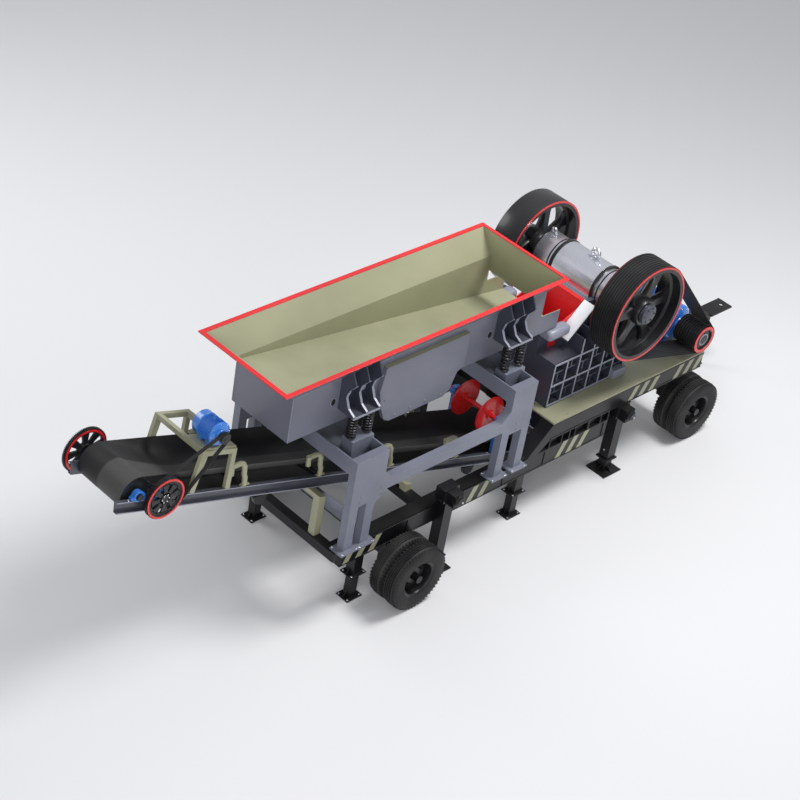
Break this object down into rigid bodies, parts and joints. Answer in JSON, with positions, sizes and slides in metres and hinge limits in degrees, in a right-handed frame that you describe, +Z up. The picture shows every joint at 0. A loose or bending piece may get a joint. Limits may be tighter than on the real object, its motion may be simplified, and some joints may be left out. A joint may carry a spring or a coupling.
{
  "type": "mobile jaw crushing plant",
  "caption": "Wheeled jaw crushing plant: hopper and vibrating feeder on springs, jaw crusher with flywheels, drive motor and a sloping discharge belt conveyor.",
  "frame": {"origin": "on the ground under the middle of the whole plant", "axes": "+X along the plant towards the tow bar, +Y across towards the far side, +Z up"},
  "size_m": [13.59, 3.6, 4.04],
  "materials": {
    "chassis_black": "semi-gloss black paint",
    "frame_grey": "satin blue-grey paint",
    "hopper_grey": "satin blue-grey paint",
    "rim_red": "gloss red paint",
    "olive": "satin olive paint",
    "motor_blue": "gloss blue paint",
    "bare_steel": "ground steel",
    "spring_black": "black enamel",
    "tyre_black": "black tyre rubber",
    "belt_rubber": "black rubber",
    "crusher_navy": "satin dark blue-grey paint",
    "pulley_dark": "dark grey paint"
  },
  "bodies": {
    "plant": {"side_frame_near": "chassis_black", "side_frame_far": "chassis_black", "cross_beams": "chassis_black", "deck_plate": "olive", "tow_bar": "chassis_black", "support_legs": "chassis_black", "jack_housings": "chassis_black", "axles": "chassis_black", "feeder_frame_near": "frame_grey", "feeder_frame_far": "frame_grey", "feeder_cross_beams": "frame_grey", "springs": "spring_black", "spring_brackets": "crusher_navy", "trough_side_near": "hopper_grey", "trough_side_far": "hopper_grey", "trough_end_plate": "hopper_grey", "trough_floor": "olive", "exciter_housing": "hopper_grey", "hopper_flare": "hopper_grey", "hopper_rim": "rim_red", "disc_stands": "motor_blue", "conveyor_rail_near": "pulley_dark", "conveyor_rail_far": "pulley_dark", "conveyor_belt": "belt_rubber", "pillow_blocks": "motor_blue", "idler_brackets": "olive", "idler_rollers": "pulley_dark", "conveyor_posts": "olive", "motor_portal": "olive", "conveyor_motor": "motor_blue", "conveyor_v_belts": "belt_rubber", "crusher_side_near": "crusher_navy", "crusher_side_far": "crusher_navy", "crusher_front_wall": "crusher_navy", "crusher_rear_wall": "crusher_navy", "jaw_plates": "rim_red", "swing_jaw": "bare_steel", "bearing_housings": "bare_steel", "crusher_motor": "motor_blue", "crusher_v_belts": "belt_rubber"},
    "jaw_shaft": {"eccentric_shaft": "bare_steel", "flywheel_near": "pulley_dark", "flywheel_far": "pulley_dark"},
    "crusher_motor_rotor": {"crusher_motor_pulley": "pulley_dark"},
    "head_shaft": {"head_drum": "pulley_dark", "head_gear": "pulley_dark"},
    "jackshaft": {"jackshaft_pulley": "pulley_dark"},
    "conveyor_motor_rotor": {"conveyor_motor_pulley": "pulley_dark"},
    "discs": {"disc_rotor": "rim_red"},
    "wheels_near_left": {"wheel_near_left": "tyre_black"},
    "jack_near_left": {"jack_leg_near_left": "chassis_black"},
    "wheels_far_left": {"wheel_far_left": "tyre_black"},
    "jack_far_left": {"jack_leg_far_left": "chassis_black"},
    "wheels_near_right": {"wheel_near_right": "tyre_black"},
    "jack_near_right": {"jack_leg_near_right": "chassis_black"},
    "wheels_far_right": {"wheel_far_right": "tyre_black"},
    "jack_far_right": {"jack_leg_far_right": "chassis_black"}
  },
  "joints": [
    {"name": "flywheel_spin", "type": "hinge", "parent": "plant", "child": "jaw_shaft", "pos_m": [2.533, 0, 3.108], "axis": [0, 1, 0], "continuous": true},
    {"name": "crusher_motor_spin", "type": "hinge", "parent": "plant", "child": "crusher_motor_rotor", "pos_m": [4.3, 0, 2], "axis": [0, 1, 0], "continuous": true},
    {"name": "head_drum_spin", "type": "hinge", "parent": "plant", "child": "head_shaft", "pos_m": [-6.455, 0, 3.055], "axis": [0, 1, 0], "continuous": true},
    {"name": "jackshaft_spin", "type": "hinge", "parent": "plant", "child": "jackshaft", "pos_m": [-6.085, 0, 2.915], "axis": [0, 1, 0], "continuous": true},
    {"name": "conveyor_motor_spin", "type": "hinge", "parent": "plant", "child": "conveyor_motor_rotor", "pos_m": [-5.165, 0, 3.48], "axis": [0, 1, 0], "continuous": true},
    {"name": "disc_spin", "type": "hinge", "parent": "plant", "child": "discs", "pos_m": [0.585, 0, 1.36], "axis": [0, 1, 0], "continuous": true},
    {"name": "wheel_spin_near_left", "type": "hinge", "parent": "plant", "child": "wheels_near_left", "pos_m": [-2.215, 0, 0.525], "axis": [0, 1, 0], "continuous": true},
    {"name": "wheel_spin_far_left", "type": "hinge", "parent": "plant", "child": "wheels_far_left", "pos_m": [-2.215, 0, 0.525], "axis": [0, 1, 0], "continuous": true},
    {"name": "wheel_spin_near_right", "type": "hinge", "parent": "plant", "child": "wheels_near_right", "pos_m": [4.545, 0, 0.525], "axis": [0, 1, 0], "continuous": true},
    {"name": "wheel_spin_far_right", "type": "hinge", "parent": "plant", "child": "wheels_far_right", "pos_m": [4.545, 0, 0.525], "axis": [0, 1, 0], "continuous": true},
    {"name": "jack_lift_near_left", "type": "slide", "parent": "plant", "child": "jack_near_left", "axis": [0, 0, 1], "range_m": [0, 0.12]},
    {"name": "jack_lift_far_left", "type": "slide", "parent": "plant", "child": "jack_far_left", "axis": [0, 0, 1], "range_m": [0, 0.12]},
    {"name": "jack_lift_near_right", "type": "slide", "parent": "plant", "child": "jack_near_right", "axis": [0, 0, 1], "range_m": [0, 0.12]},
    {"name": "jack_lift_far_right", "type": "slide", "parent": "plant", "child": "jack_far_right", "axis": [0, 0, 1], "range_m": [0, 0.12]}
  ],
  "couplings": [
    {"joint": "crusher_motor_spin", "follows": "flywheel_spin", "ratio": 3.4303},
    {"joint": "jackshaft_spin", "follows": "head_drum_spin", "ratio": -6.4615},
    {"joint": "conveyor_motor_spin", "follows": "head_drum_spin", "ratio": -25.254}
  ]
}
